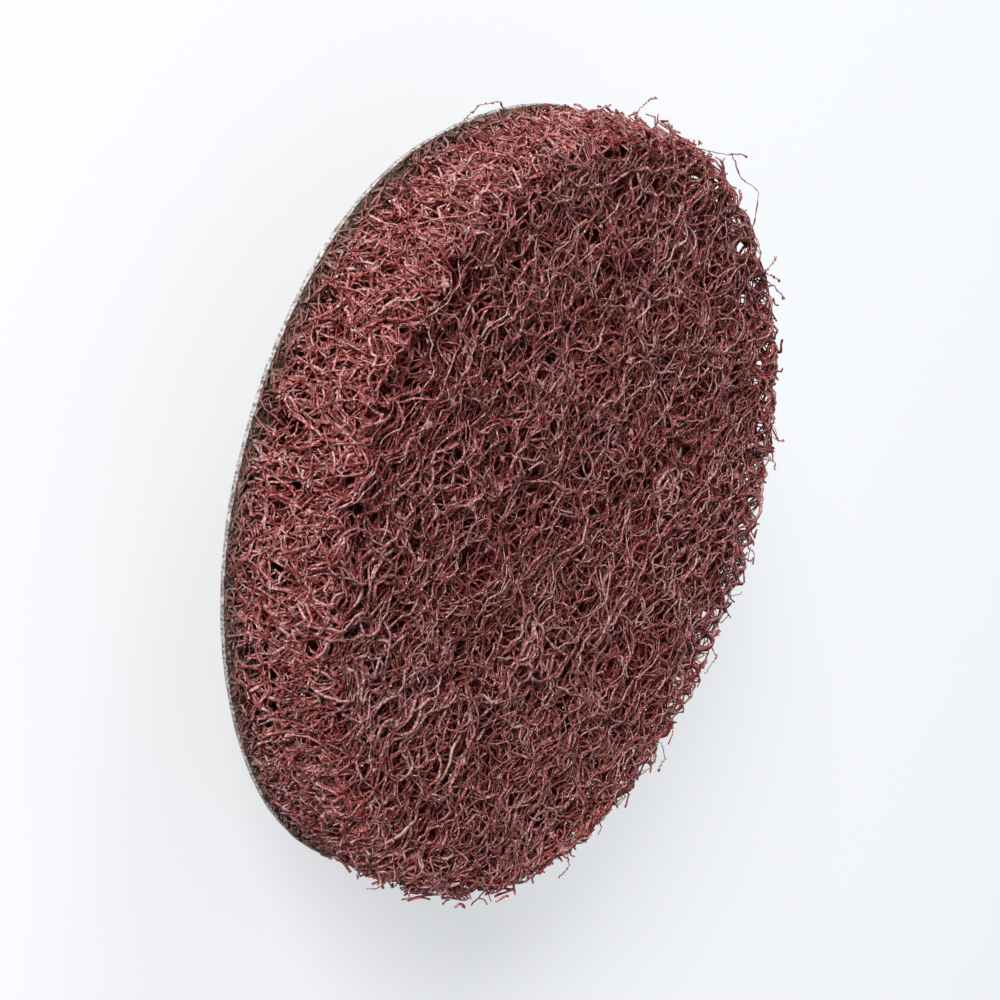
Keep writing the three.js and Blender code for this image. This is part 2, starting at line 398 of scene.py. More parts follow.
# a place as the photo's camera sees it: right along X and up the disc's axis, and how far away
def seenFrom(x, y, z):
    lean = math.radians(viewPlan["fromAxis"])
    middle, distance = viewPlan["target"][2], viewPlan["distance"]
    away = distance + y * math.sin(lean) - (z - middle) * math.cos(lean)
    up = y * math.cos(lean) + (z - middle) * math.sin(lean)
    return x * distance / away, up * distance / away, away / distance


def gapPlaces():
    turn, reach = np.array(gapPlan["places"], float).T
    turn = np.radians(turn)
    across, up, _ = seenFrom(reach * np.cos(turn), reach * np.sin(turn), gapPlan["face"])
    # wider where the line of sight stays longer in the web
    sizes = gapPlan["small"], gapPlan["large"]
    wide = np.interp(np.degrees(turn), gapPlan["widening"], sizes)
    return np.stack([across, up], 1), wide


farGaps = gapPlaces()


def openToLight(x, y, z):
    across, up, scale = seenFrom(x, y, z)
    share = np.clip((np.hypot(x, y) - gapPlan["inner"]) / gapPlan["innerOver"], 0, 1)
    share = share * np.clip(z - gapPlan["low"], 0, 1) * np.clip(y - gapPlan["near"], 0, 1)
    newAcross, newUp = openPores(farGaps, across, up, share)
    lean = math.radians(viewPlan["fromAxis"])
    rise = (newUp - up) * scale
    return x + (newAcross - across) * scale, y + rise * math.cos(lean), z + rise * math.sin(lean)


# turns values back into a range at its two ends
def folded(values, low, high):
    span = high - low
    return low + span * np.arccos(np.cos(math.pi * (values - low) / span)) / math.pi


coursePlan = {"crimpShare": (0.4, 1.3), "kinkTurn": 0.8}


# the crimped course of staple fibres: each wanders in a plane on a smoothly changing curl
def crimpedCourse(rng, plan):
    steps = int(plan["length"] / plan["step"])
    along = np.arange(steps) * plan["step"]
    count = plan["count"]
    curl = rng.normal(0, plan["curl"], (count, 1)) * np.ones(steps)
    for crimp, shortest, longest in plan["crimps"]:
        wave = rng.uniform(shortest, longest, (count, 1))
        height = crimp * rng.uniform(*coursePlan["crimpShare"], (count, 1))
        curl += height * np.sin(fullTurn * (along / wave + rng.uniform(0, 1, (count, 1))))
    kinks = rng.normal(0, coursePlan["kinkTurn"], curl.shape)
    kinks = kinks * (rng.uniform(0, 1, curl.shape) < plan["kinks"])
    heading = rng.uniform(0, fullTurn, (count, 1)) + np.cumsum(curl * plan["step"] + kinks, 1)
    x = np.cumsum(np.cos(heading), 1) * plan["step"]
    y = np.cumsum(np.sin(heading), 1) * plan["step"]
    middle = steps // 2
    x -= x[:, middle : middle + 1]
    y -= y[:, middle : middle + 1]
    depth = rng.uniform(plan["shallow"], plan["deep"], (count, 1)) * np.ones(steps)
    for height, shortest, longest in plan["bobs"]:
        wave = rng.uniform(shortest, longest, (count, 1))
        depth += height * np.sin(fullTurn * (along / wave + rng.uniform(0, 1, (count, 1))))
    return x, y, folded(depth, plan["shallow"], plan["deep"])


# fibres that lie nearly level in the web
def levelFibres(rng, plan):
    x, y, depth = crimpedCourse(rng, plan)
    outer = discPlan["radius"] + 1
    inner = plan.get("innerReach", 0)
    reach = np.sqrt(rng.uniform(inner**2, outer**2, (len(x), 1)))
    turn = rng.uniform(0, fullTurn, (len(x), 1))
    x += reach * np.cos(turn)
    y += reach * np.sin(turn)
    strength = porePlan["openness"] - depth / porePlan["closeOver"]
    x, y = openPores(facePores, x, y, np.clip(strength, porePlan["leastOpen"], 1))
    return x, y, depth


# points in rows, each row a fibre, as one wire mesh with what the tubes and colours need
def wireMesh(name, x, y, z, kept, tone, under, thick):
    x, y, z = openToLight(x, y, z)
    index = np.full(x.shape, -1)
    index[kept] = np.arange(kept.sum())
    joins = kept[:, :-1] & kept[:, 1:]
    edges = np.stack([index[:, :-1][joins], index[:, 1:][joins]], 1)
    mesh = bpy.data.meshes.new(name)
    mesh.from_pydata(np.stack([x[kept], y[kept], z[kept]], 1) * mm, edges, [])
    for label, values in (("tone", tone), ("under", under), ("thick", thick)):
        addValues(mesh, label, np.broadcast_to(values, x.shape)[kept])
    return mesh


tonePlan = {"middle": 0.5, "waves": (0.4, 0.9), "swing": 0.1, "thinnest": 0.6}


def tonesAlong(rng, shape, scatter):
    wave = rng.uniform(*tonePlan["waves"], (shape[0], 1)) * np.arange(shape[1])
    start = rng.uniform(0, fullTurn, (shape[0], 1))
    tones = rng.normal(tonePlan["middle"], scatter, (shape[0], 1))
    return np.clip(tones + tonePlan["swing"] * np.sin(wave + start), 0, 1)


# how thick each fibre is beside its layer's diameter
def thicknesses(rng, count, scatter, thickest):
    return np.clip(rng.normal(1, scatter, (count, 1)), tonePlan["thinnest"], thickest)


# the rim's pores run on inwards and a little upwards, so that light comes through the far edge
def openInwards(x, y, z):
    reach, angle = np.hypot(x, y), np.arctan2(y, x) % fullTurn
    lift = porePlan["lean"] * (reach - discPlan["radius"])
    strength = np.clip((reach - porePlan["inwardsFrom"]) / porePlan["inwardsOver"], 0, 1)
    around, up = openPores(rimPores, angle * discPlan["radius"], z + lift, strength)
    angle = around / discPlan["radius"]
    return reach * np.cos(angle), reach * np.sin(angle), up - lift


cutPlan = {
    "aboveCloth": 0.04, "aboveSkin": 0.1, "inset": 0.04, "scatterLimits": (-0.5, 0.4),
    "toneScatter": 0.17, "darkOver": 2.6, "thickest": 1.7,
}


# cuts level fibres at the punched edge
def cutFibres(name, rng, x, y, depth, plan):
    count = len(x)
    x, y, z = openInwards(x, y, skinAt(x, y) - depth)
    angle = np.arctan2(y, x)
    floor, ceiling = discPlan["webBottom"] + cutPlan["aboveCloth"], skinAt(x, y) + cutPlan["aboveSkin"]
    z = np.clip(z, floor, ceiling)
    scatter = rng.normal(0, plan["cutScatter"], (count, 1)).clip(*cutPlan["scatterLimits"])
    inset = cutPlan["inset"]
    spare = edgeAt(angle, z) + (scatter + inset) * raggedness(z) - inset - np.hypot(x, y)
    inside = spare > 0
    if plan.get("innerReach"):
        inside &= np.hypot(x, y) > plan["innerReach"]
    # a run of three or more points inside is kept as a fibre
    kept = inside.copy()
    kept[:, 1:-1] &= inside[:, :-2] | inside[:, 2:]
    tone = tonesAlong(rng, x.shape, cutPlan["toneScatter"])
    # painted shade: the under value darkens a fibre the deeper it lies below the skin and the further
    # in from the punched edge
    under = np.clip(np.minimum(depth, spare) / cutPlan["darkOver"], 0, 1)
    thick = thicknesses(rng, count, plan["thickScatter"], cutPlan["thickest"])
    return wireMesh(name, x, y, z, kept, tone, under, thick)


# fibres that lie along the rim's own skin
def rimNet(name, rng, plan):
    around, up, depth = crimpedCourse(rng, plan)
    low = discPlan["webBottom"] + plan["aboveCloth"]
    high = discPlan["webTop"] - plan["belowFace"]
    around = around + rng.uniform(0, fullTurn, (len(up), 1)) * discPlan["radius"]
    up = up + rng.uniform(low, high, (len(up), 1))
    around = around % (fullTurn * discPlan["radius"])
    lift = porePlan["lean"] * depth
    around, up = openPores(rimPores, around, folded(up, low, high) - lift, np.ones_like(up))
    z = np.clip(up + lift, low, high)
    angle = around / discPlan["radius"]
    edge = discPlan["edgeRound"]
    past = np.clip((z - discPlan["webTop"] + edge) / edge, 0, 1)
    reach = edgeAt(angle, z) - depth - edge * (1 - np.sqrt(1 - past**2))
    # a fibre that crosses the start of the turn is left open there
    kept = np.full(z.shape, True)
    kept[:, 1:] &= np.abs(np.diff(around, axis=1)) < plan["longestJump"]
    tone = tonesAlong(rng, z.shape, plan["toneScatter"])
    # painted shade: the under value darkens a fibre the deeper it lies in from the rim's skin
    under = np.clip(depth / plan["darkOver"], 0, 1)
    thick = thicknesses(rng, len(z), plan["thickScatter"], plan["thickest"])
    x, y = reach * np.cos(angle), reach * np.sin(angle)
    return wireMesh(name, x, y, z, kept, tone, under, thick)


# tubes along a wire mesh, lumpy with resin and grain
def fibreTree(name):
    graph, given = newTree(
        name,
        [
            ("Fibre Diameter", "NodeSocketFloat", 0.0002),
            ("Sides", "NodeSocketInt", 4),
            ("Lump Height", "NodeSocketFloat", 0.25),
            ("Lump Length", "NodeSocketFloat", 0.0005),
            ("Seed", "NodeSocketFloat", 1.0),
            ("Material", "NodeSocketMaterial", None),
        ],
    )
    curves = graph.add("GeometryNodeMeshToCurve", None, {"Mesh": given["Geometry"]})
    thick = graph.add("GeometryNodeInputNamedAttribute", {"data_type": "FLOAT"}, {"Name": "thick"})
    scale = 1.0 / given["Lump Length"]
    sockets = {"W": given["Seed"], "Scale": scale, "Detail": 1.0, "Roughness": 0.6}
    lump = graph.add("ShaderNodeTexNoise", {"noise_dimensions": "4D"}, sockets, "Fac")
    radius = given["Fibre Diameter"] * 0.5 * thick * (1 + (lump - 0.5) * 2 * given["Lump Height"])
    ring = graph.add(
        "GeometryNodeCurvePrimitiveCircle", None, {"Resolution": given["Sides"], "Radius": 1.0}
    )
    tubes = graph.add(
        "GeometryNodeCurveToMesh",
        None,
        {"Curve": curves, "Profile Curve": ring, "Scale": radius, "Fill Caps": True},
    )
    finishTree(graph, tubes, given["Material"])
    return graph


# Materials of the web


webColours = {
    "face": [
        (0.0, (0.14, 0.029, 0.026)),
        (0.35, (0.245, 0.07, 0.062)),
        (0.65, (0.33, 0.14, 0.13)),
        (1.0, (0.47, 0.3, 0.29)),
    ],
    "rim": [
        (0.0, (0.17, 0.032, 0.03)),
        (0.35, (0.3, 0.082, 0.076)),
        (0.65, (0.42, 0.175, 0.165)),
        (1.0, (0.58, 0.38, 0.37)),
    ],
    # painted shade: the colour darkens and reddens from the skin down into the web, as shade and red
    # light bounced between fibres would make it
    "paintedDepthShade": [
        (0.0, (1.0, 1.0, 1.0)),
        (0.25, (0.86, 0.6, 0.56)),
        (0.6, (0.62, 0.24, 0.19)),
        (1.0, (0.55, 0.07, 0.025)),
    ],
    # fine noise over the tones: its scale and its share, for lumps of resin and for grit
    "lumps": (3600.0, 1.3),
    "grit": (9000.0, 1.9),
    # pale specks: partly the pale colour of bare grain, partly painted glints of it
    "glint": (0.78, 0.7, 0.68), "glintLimits": (0.66, 0.74), "glintShare": 0.55,
    # the lowest fibres, soaked in the resin that holds the cloth, by height in metres
    "soaked": (0.17, 0.115, 0.095), "soakedLimits": (0.0089, 0.0079), "soakedShare": 0.75,
}


def fibreMaterial(name, stops, roughness):
    material, graph = newMaterial(name)
    tone, under = storedValue(graph, "tone"), storedValue(graph, "under")
    place = objectPlace(graph)
    (lumpScale, lumpShare), (gritScale, gritShare) = webColours["lumps"], webColours["grit"]
    lumps = noise(graph, place, lumpScale, 1.0)
    grit = noise(graph, place, gritScale, 1.0)
    shade = tone + (lumps - 0.5) * lumpShare + (grit - 0.5) * gritShare
    colour = colourRamp(graph, stops, shade)
    # painted glints: where the grit noise is high, pale specks are mixed into the colour
    glint = between(graph, grit, webColours["glintLimits"]) * webColours["glintShare"]
    colour = mixed(graph, glint, colour, (*webColours["glint"], 1))
    soaked = between(graph, heightIn(graph, place), webColours["soakedLimits"])
    soaked = soaked * webColours["soakedShare"]
    colour = mixed(graph, soaked, colour, (*webColours["soaked"], 1))
    # painted shade: the colour is multiplied by a darker, redder colour the deeper the fibre lies
    colour = shadedBy(graph, colour, colourRamp(graph, webColours["paintedDepthShade"], under))
    sockets = {"Base Color": colour, "Roughness": roughness, "Specular IOR Level": 0.1}
    finishMaterial(graph, surface(graph, sockets))
    return material


faceFibreMaterial = fibreMaterial("resinFibreFace", webColours["face"], 0.5)
rimFibreMaterial = fibreMaterial("resinFibreRim", webColours["rim"], 0.55)


# The web


fibreLayers = {
    "web_deep_fibres": {
        "count": 200, "length": 26, "step": 0.6, "shallow": 1.9, "deep": 3.3, "kinks": 0.05,
        "curl": 0.3, "crimps": [(0.8, 2.2, 6.5), (0.5, 1.8, 2.6)], "bobs": [(0.25, 2, 6)],
        "cutScatter": 0.12, "thickScatter": 0.2, "diameter": 0.2, "seed": 11,
    },
    "web_middle_fibres": {
        "count": 340, "length": 26, "step": 0.34, "shallow": 1.0, "deep": 2.2, "kinks": 0.05,
        "curl": 0.34, "crimps": [(0.9, 2.2, 6.0), (0.9, 1.3, 2.6)], "bobs": [(0.25, 2, 6)],
        "cutScatter": 0.14, "thickScatter": 0.22, "diameter": 0.155, "seed": 12,
    },
    "web_upper_fibres": {
        "count": 385, "length": 26, "step": 0.29, "shallow": 0.35, "deep": 1.4, "kinks": 0.06,
        "curl": 0.4, "crimps": [(1.0, 2.2, 6.0), (1.2, 1.1, 2.2)], "bobs": [(0.25, 1.5, 5)],
        "cutScatter": 0.15, "thickScatter": 0.3, "diameter": 0.11, "seed": 15,
    },
    "web_face_fibres": {
        "count": 400, "length": 26, "step": 0.28, "shallow": 0.0, "deep": 0.8, "kinks": 0.06,
        "curl": 0.42, "crimps": [(1.0, 2.2, 6.0), (1.3, 1.0, 2.2)], "bobs": [(0.22, 1.5, 5)],
        "cutScatter": 0.16, "thickScatter": 0.32, "diameter": 0.102, "seed": 13,
    },
    "web_rim_fibres": {
        "count": 1800, "length": 6.5, "step": 0.27, "shallow": 0.2, "deep": 5.6, "kinks": 0.08,
        "innerReach": 17.4,
        "curl": 0.6, "crimps": [(1.3, 1.6, 5.0), (1.4, 0.9, 2.0)], "bobs": [(0.4, 1.2, 3)],
        "cutScatter": 0.2, "thickScatter": 0.3, "diameter": 0.115, "seed": 14,
    },
    "web_rim_net": {
        "count": 400, "length": 12, "step": 0.27, "shallow": 0.1, "deep": 0.9, "kinks": 0.08,
        "curl": 0.5, "crimps": [(1.2, 1.8, 5.0), (1.4, 0.9, 2.0)], "bobs": [(0.3, 1.2, 4)],
        "thickScatter": 0.32, "diameter": 0.106, "seed": 17,
        "aboveCloth": 0.1, "belowFace": 0.15, "toneScatter": 0.18, "darkOver": 2.4,
        "thickest": 1.7, "longestJump": 5,
    },
}

tubeTree = fibreTree("fibreTubes")
webPieces = []
tubePlan = {"sides": 3, "lumpHeight": 0.65, "lumpLength": 0.3}


def tubesAlong(name, wires, diameter, seed, material, plan):
    values = {
        "Fibre Diameter": diameter * mm,
        "Sides": plan["sides"],
        "Lump Height": plan["lumpHeight"],
        "Lump Length": plan["lumpLength"] * mm,
        "Seed": float(seed),
        "Material": material,
    }
    piece = grown(name, wires, tubeTree, values)
    print(name, len(piece.data.polygons), "faces")
    return piece


def addWebTubes(name, wires, diameter, seed, material):
    piece = tubesAlong(name, wires, diameter, seed, material, tubePlan)
    layBakeMap(piece.data, "tone", "under")
    webPieces.append(piece)


for pieceName, plan in fibreLayers.items():
    rng = np.random.default_rng(plan["seed"])
    if pieceName == "web_rim_net":
        wires = rimNet(pieceName + "Wires", rng, plan)
    else:
        wires = cutFibres(pieceName + "Wires", rng, *levelFibres(rng, plan), plan)
    material = rimFibreMaterial if "rim" in pieceName else faceFibreMaterial
    addWebTubes(pieceName, wires, plan["diameter"], plan["seed"], material)


# short cut ends that make the rim a brush, thickest near the cloth
stubPlan = {
    "count": 2600, "reach": 0.9, "steps": 5, "spread": 0.8, "rise": 0.6, "proud": 0.65,
    "bend": 1.3, "diameter": 0.117, "seed": 21, "tubeSeed": 5,
    "inset": 0.02, "height": 5.2, "lowPower": 1.4, "proudPower": 3, "startScatter": 0.15,
    "sway": (0.12, 4, 50), "shoulder": 0.97, "aboveCloth": 0.04,
    "tone": (0.58, 0.2, 0.12), "darkOver": 2.2, "thickScatter": 0.22, "thickest": 1.6,
}


def rimStubs():
    plan = stubPlan
    rng = np.random.default_rng(plan["seed"])
    count, steps, inset = plan["count"], plan["steps"], plan["inset"]
    angle = rng.uniform(0, fullTurn, (count, 1))
    height = plan["height"] * rng.uniform(0, 1, (count, 1)) ** plan["lowPower"]
    height = discPlan["webBottom"] + inset + height
    turn = angle + rng.normal(0, plan["spread"], (count, 1))
    bend = rng.normal(0, plan["bend"], (count, 1))
    rise = rng.normal(0, plan["rise"], (count, 1))
    along = (np.arange(steps) / (steps - 1) - 1) * plan["reach"]
    proud = plan["proud"] * rng.uniform(0, 1, (count, 1)) ** plan["proudPower"]
    limit = edgeAt(angle, height) - inset + proud * raggedness(height)
    start = limit - rng.uniform(0, plan["startScatter"], (count, 1))
    x = start * np.cos(angle) + along * np.cos(turn + bend * along)
    y = start * np.sin(angle) + along * np.sin(turn + bend * along)
    inwards = np.minimum(1, limit / np.hypot(x, y))
    x, y = x * inwards, y * inwards
    within = start * plan["shoulder"]
    ceiling = skinAt(within * np.cos(angle), within * np.sin(angle))
    sway, swayAlong, swayAround = plan["sway"]
    climb = along * rise + sway * np.sin(along * swayAlong + angle * swayAround)
    x, y, z = openInwards(x, y, height + climb)
    z = np.clip(z, discPlan["webBottom"] + plan["aboveCloth"], ceiling)
    # the tone rises towards each stub's outer end, and its under value gives it painted shade inwards
    middle, scatter, brighter = plan["tone"]
    tone = np.clip(rng.normal(middle, scatter, (count, 1)) + brighter * along, 0, 1)
    under = np.clip(-along / plan["darkOver"], 0, 1)
    thick = thicknesses(rng, count, plan["thickScatter"], plan["thickest"])
    return wireMesh("rimStubWires", x, y, z, np.full(x.shape, True), tone, under, thick)


# a few loose hairs that have sprung out of the edge, beaded with resin, each through points of
# (degrees round the disc, distance from the axis, height) and with a knob at its end or not
strayPlan = {
    "diameter": 0.062, "seed": 31, "tubeSeed": 5, "steps": 34, "wander": 0.025, "tone": 0.35,
    # thickness between beads, of beads, how rare they are, and of the knob at the end
    "thin": 0.75, "bead": 1.5, "beadPower": 4, "knob": 2.2,
    "hairs": [
        ([(180, 18.4, 13.1), (177.4, 18.5, 13.4), (173.9, 18.8, 13.5), (169.6, 19.3, 13.5),
          (168.1, 19.24, 13.5), (165.3, 18.9, 13.5), (162.5, 19.1, 13.45), (159.3, 19.5, 13.45),
          (158, 19.5, 13.45), (156.4, 18.9, 13.45), (154.6, 18.3, 13.4), (154.2, 17.9, 13.1)], 0),
        ([(170.5, 19.2, 13.5), (167.2, 19.8, 13.5), (165.3, 20.0, 13.45)], 0),
        ([(171.6, 18.9, 13.55), (170.4, 18.2, 13.2)], 0),
        ([(144, 17.8, 13.0), (144.1, 18.4, 13.35), (144.8, 19.2, 13.5)], 1),
        ([(145.2, 17.9, 13.0), (143, 18.5, 13.4), (140.4, 19.1, 13.5)], 1),
        ([(143.5, 18.0, 13.1), (139.6, 18.8, 13.4), (136.5, 19.3, 13.5)], 1),
        ([(113.4, 18.0, 13.0), (112, 18.9, 13.45), (111.5, 19.5, 13.45)], 1),
        ([(110.4, 18.2, 13.0), (108, 19.0, 13.4), (107, 19.0, 13.4)], 0),
        ([(94, 18.4, 12.9), (92.6, 19.3, 13.2), (91, 19.6, 13.1)], 1),
        ([(76, 18.6, 12.8), (75, 19.4, 13.0), (72, 19.6, 12.7)], 0),
        ([(57, 18.5, 12.9), (56, 19.4, 13.1), (54, 19.7, 13.0)], 1),
        ([(30, 18.6, 12.6), (29, 19.5, 12.9), (27, 19.8, 12.8)], 0),
        ([(208, 18.8, 8.5), (211, 19.6, 8.9), (215, 19.8, 8.8), (217, 19.3, 8.4)], 0),
        ([(192, 18.9, 12.0), (190, 19.8, 12.3), (187, 20.0, 12.1)], 0),
        ([(330, 18.8, 12.4), (332, 19.7, 12.6), (335, 19.8, 12.3)], 1),
        ([(268, 18.7, 12.9), (266, 19.4, 13.2), (263, 19.3, 13.3)], 0),
    ],
}


def strayHairs():
    plan = strayPlan
    rng = np.random.default_rng(plan["seed"])
    steps = plan["steps"]
    rows, thick = [], []
    for points, knob in plan["hairs"]:
        at, given = np.linspace(0, len(points) - 1, steps), np.arange(len(points))
        turn, reach, height = (np.interp(at, given, values) for values in np.array(points).T)
        turn = np.radians(turn)
        row = np.array([reach * np.cos(turn), reach * np.sin(turn), height])
        rows.append(row + rng.normal(0, plan["wander"], (3, steps)))
        beads = plan["thin"] + plan["bead"] * rng.uniform(0, 1, steps) ** plan["beadPower"]
        beads[-2:] += knob * plan["knob"]
        thick.append(beads)
    x, y, z = np.array(rows).transpose(1, 0, 2)
    kept = np.full(x.shape, True)
    return wireMesh("strayWires", x, y, z, kept, plan["tone"], 0.0, np.array(thick))


for pieceName, wires, plan in (
    ("web_rim_ends", rimStubs(), stubPlan),
    ("web_stray_fibres", strayHairs(), strayPlan),
):
    addWebTubes(pieceName, wires, plan["diameter"], plan["tubeSeed"], rimFibreMaterial)


# a closed shell of rings of points between two end points, its faces turned over or not
def ringShell(name, start, rows, end, turnedOver):
    faces = len(rows[0])
    ring = [(i, (i + 1) % faces) for i in range(faces)]
    polygons = [(0, 1 + j, 1 + i) for i, j in ring]
    for row in range(len(rows) - 1):
        near, far = 1 + row * faces, 1 + (row + 1) * faces
        polygons.extend((near + i, near + j, far + j, far + i) for i, j in ring)
    last = 1 + (len(rows) - 1) * faces
    polygons.extend((last + i, last + j, last + faces) for i, j in ring)
    if turnedOver:
        polygons = [(first, *rest[::-1]) for first, *rest in polygons]
    mesh = bpy.data.meshes.new(name)
    mesh.from_pydata(np.concatenate([[start], *rows, [end]]) * mm, [], polygons)
    return mesh


# the dense lower part of the web, seen only as darkness behind the fibres: its colour is partly the
# dark resin-soaked web, partly painted shade of the web's depths
corePlan = {
    "inset": 1.9, "sink": 2.5, "rings": 30, "faces": 180, "roughness": 0.3, "seed": 3,
    "sideHeights": (9.9, 9.0, 7.9), "sideRoughness": 0.25, "bottom": 7.85, "grain": 2600.0,
    "stops": [(0.35, (0.15, 0.007, 0.001)), (0.7, (0.4, 0.04, 0.014))],
    # the side colour is painted shade: near black over the core's sides and lower part
    "side": (0.035, 0.004, 0.002), "sideShadeLimits": (0.0104, 0.0101),  # limits in metres
}


def webCore():
    plan = corePlan
    rng = np.random.default_rng(plan["seed"])
    faces, rings = plan["faces"], plan["rings"]
    angle = np.arange(faces) * fullTurn / faces
    rows = []
    for ring in range(1, rings + 1):
        reach = (outlineAt(angle) - plan["inset"]) * ring / rings
        x, y = reach * np.cos(angle), reach * np.sin(angle)
        z = skinAt(x, y) - plan["sink"] + rng.uniform(-1, 1, faces) * plan["roughness"]
        rows.append(np.stack([x, y, z], 1))
    for height in plan["sideHeights"]:
        rough = rng.uniform(-1, 1, faces) * plan["sideRoughness"]
        reach = outlineAt(angle) - plan["inset"] + rough
        x, y = reach * np.cos(angle), reach * np.sin(angle)
        rows.append(np.stack([x, y, np.full(faces, height)], 1))
    top, bottom = (0, 0, discPlan["webTop"] - plan["sink"]), (0, 0, plan["bottom"])
    mesh = ringShell("web_core", top, rows, bottom, True)
    material, graph = newMaterial("webCoreFeltAndShade")
    place = objectPlace(graph)
    colour = colourRamp(graph, plan["stops"], noise(graph, place, plan["grain"], 3.0))
    # painted shade: near black below the height limits, on the core's sides
    side = between(graph, heightIn(graph, place), plan["sideShadeLimits"])
    colour = mixed(graph, side, colour, (*plan["side"], 1))
    sockets = {"Base Color": colour, "Roughness": 0.9, "Specular IOR Level": 0.0}
    finishMaterial(graph, surface(graph, sockets))
    mesh.materials.append(material)
    return newObject("web_core", mesh)


webPieces.append(webCore())
print("web core made")


# thin skins of resin that dried between fibres: small flat stars with hollowed sides
skinPlan = {
    "face": 900, "rim": 350, "small": 0.1, "large": 0.34, "hollow": 0.5, "thickness": 0.02,
    "shallow": 0.12, "deep": 0.7, "tilt": 0.3, "seed": 51,
    "inset": 1, "aboveCloth": 0.5, "belowFace": 1, "fewestPoints": 3, "mostPoints": 5,
    "pointReach": (0.8, 1.5), "pointScatter": 0.25, "tones": (0.45, 0.85), "darkOver": 4,
}


def resinSkins():
    plan = skinPlan
    rng = np.random.default_rng(plan["seed"])
    places, polygons, tones, unders = [], [], [], []
    for i in range(plan["face"] + plan["rim"]):
        turn = rng.uniform(0, fullTurn)
        size = plan["small"] + (plan["large"] - plan["small"]) * rng.uniform(0, 1) ** 2
        deep = rng.uniform(plan["shallow"], plan["deep"])
        outer = float(outlineAt(np.array(turn)))
        outward = Vector((math.cos(turn), math.sin(turn), 0))
        if i < plan["face"]:
            reach = (outer - plan["inset"]) * math.sqrt(rng.uniform(0, 1))
            top = float(skinAt(np.array(outward.x * reach), np.array(outward.y * reach)))
            middle = outward * reach + Vector((0, 0, top - deep))
            facing = Vector((0, 0, 1))
        else:
            low = discPlan["webBottom"] + plan["aboveCloth"]
            height = rng.uniform(low, discPlan["webTop"] - plan["belowFace"])
            middle = outward * (outer - deep) + Vector((0, 0, height))
            facing = outward
        facing = (facing + Vector(rng.normal(0, plan["tilt"], 3))).normalized()
        side = facing.orthogonal().normalized()
        other = facing.cross(side)
        corners = int(rng.integers(plan["fewestPoints"], plan["mostPoints"] + 1)) * 2
        start = len(places)
        spin = rng.uniform(0, fullTurn)
        for corner in range(corners):
            shift = rng.uniform(-plan["pointScatter"], plan["pointScatter"])
            angle = spin + fullTurn * (corner + shift) / corners
            reach = size * (rng.uniform(*plan["pointReach"]) if corner % 2 else plan["hollow"])
            places.append(middle + side * reach * math.cos(angle) + other * reach * math.sin(angle))
        places.append(middle + facing * plan["thickness"])
        places.append(middle - facing * plan["thickness"])
        for corner in range(corners):
            following = start + (corner + 1) % corners
            polygons.append((start + corner, following, start + corners))
            polygons.append((following, start + corner, start + corners + 1))
        tones.extend([rng.uniform(*plan["tones"])] * (corners + 2))
        # painted shade: a skin's under value darkens it with its depth
        unders.extend([deep / plan["darkOver"]] * (corners + 2))
    mesh = bpy.data.meshes.new("web_resin_skins")
    mesh.from_pydata([place * mm for place in places], [], polygons)
    addValues(mesh, "tone", tones)
    addValues(mesh, "under", unders)
    mesh.materials.append(faceFibreMaterial)
    layBakeMap(mesh, "tone", "under")
    return newObject("web_resin_skins", mesh)


webPieces.append(resinSkins())
print("resin skins made")


# Abrasive grain on the fibres


grainPlan = {
    "density": 1.5, "small": 0.045, "large": 0.11, "seed": 9, "toneSeed": 77, "turn": 6.283,
    "stops": [
        (0.0, (0.13, 0.03, 0.026)),
        (0.55, (0.32, 0.12, 0.1)),
        (0.8, (0.5, 0.32, 0.28)),
        (1.0, (0.8, 0.76, 0.72)),
    ],
}


def grainTree():
    graph, given = newTree(
        "grainOnFibres",
        [
            ("Grains per mm2", "NodeSocketFloat", 6.0),
            ("Smallest", "NodeSocketFloat", 0.00005),
            ("Largest", "NodeSocketFloat", 0.0001),
            ("Seed", "NodeSocketInt", 1),
            ("Material", "NodeSocketMaterial", None),
        ],
    )
    # density is wanted per square metre
    density, seed = given["Grains per mm2"] * 1e6, given["Seed"]
    sockets = {"Mesh": given["Geometry"], "Density": density, "Seed": seed}
    spots = graph.add("GeometryNodeDistributePointsOnFaces", None, sockets)
    sockets = {"Segments": 4, "Rings": 2, "Radius": 0.5}
    grain = graph.add("GeometryNodeMeshUVSphere", None, sockets)

    def randomValue(kind, sockets, output):
        return graph.add("FunctionNodeRandomValue", {"data_type": kind}, sockets, output)

    limits = {"Min_001": given["Smallest"], "Max_001": given["Largest"], "Seed": seed}
    size = randomValue("FLOAT", limits, "Value_001")
    limits = {"Min": (0, 0, 0), "Max": (grainPlan["turn"],) * 3, "Seed": seed}
    turn = randomValue("FLOAT_VECTOR", limits, "Value")
    limits = {"Min_001": 0.0, "Max_001": 1.0, "Seed": grainPlan["toneSeed"]}
    tone = randomValue("FLOAT", limits, "Value_001")
    settings = {"data_type": "FLOAT", "domain": "POINT"}
    sockets = {"Geometry": spots, "Name": "tone", "Value": tone}
    toned = graph.add("GeometryNodeStoreNamedAttribute", settings, sockets)
    sockets = {"Points": toned, "Instance": grain, "Rotation": turn, "Scale": size}
    placed = graph.add("GeometryNodeInstanceOnPoints", None, sockets)
    finishTree(graph, placed, given["Material"])
    return graph


def grainFinish():
    material, graph = newMaterial("abrasiveGrain")
    colour = colourRamp(graph, grainPlan["stops"], storedValue(graph, "tone"))
    finishMaterial(graph, surface(graph, {"Base Color": colour, "Roughness": 0.3}))
    return material


